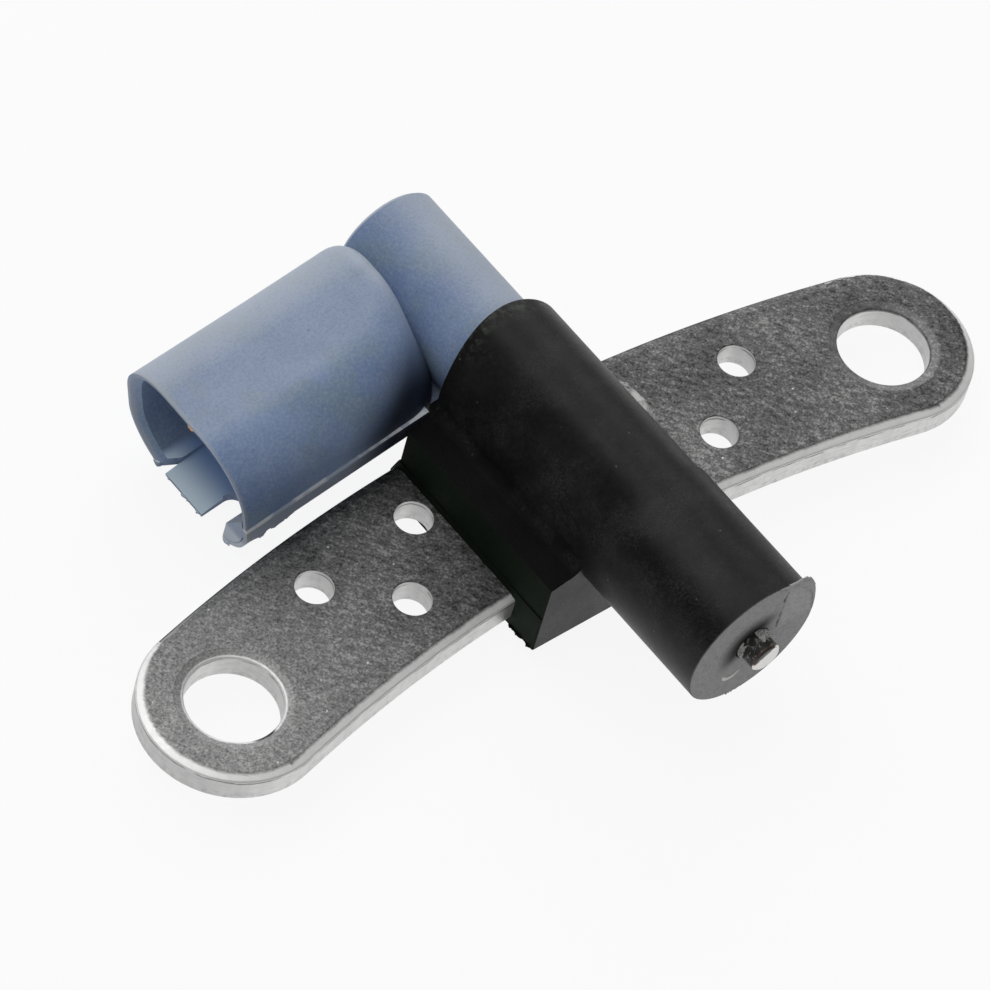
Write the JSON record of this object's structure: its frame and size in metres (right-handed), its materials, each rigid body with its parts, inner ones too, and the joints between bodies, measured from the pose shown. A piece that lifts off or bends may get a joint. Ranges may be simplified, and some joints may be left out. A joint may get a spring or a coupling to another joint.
{
  "type": "crankshaft position sensor",
  "caption": "Inductive position sensor: round black nose moulded through a curved two-hole steel bracket, with a blue plug socket set sideways behind it.",
  "frame": {"origin": "midway between the two bolt holes, on the bracket's flat mounting face", "axes": "+Z out of the bracket's upper face, X from one bolt hole to the other, -Y towards the sensor's nose, the plug socket's mouth towards -X"},
  "size_m": [0.108, 0.064, 0.0236],
  "materials": {
    "bracket_steel": "dull grey, mottled",
    "black_moulding": "matte black",
    "blue_moulding": "matte grey-blue",
    "bobbin_plastic": "natural, matte",
    "winding_copper": "enamelled copper",
    "tape": "matte film",
    "pole_steel": "turned",
    "magnet_material": "ground",
    "terminal_brass": "stamped"
  },
  "bodies": {
    "root": {"bracket_plate": "bracket_steel", "sensor_body": "black_moulding", "connector_housing": "blue_moulding", "coil_bobbin": "bobbin_plastic", "coil_winding": "winding_copper", "winding_tape": "tape", "pole_pin": "pole_steel", "magnet": "magnet_material", "yoke_disc": "pole_steel", "terminal_near": "terminal_brass", "terminal_far": "terminal_brass", "coil_end_near": "winding_copper", "coil_end_far": "winding_copper"}
  },
  "joints": []
}
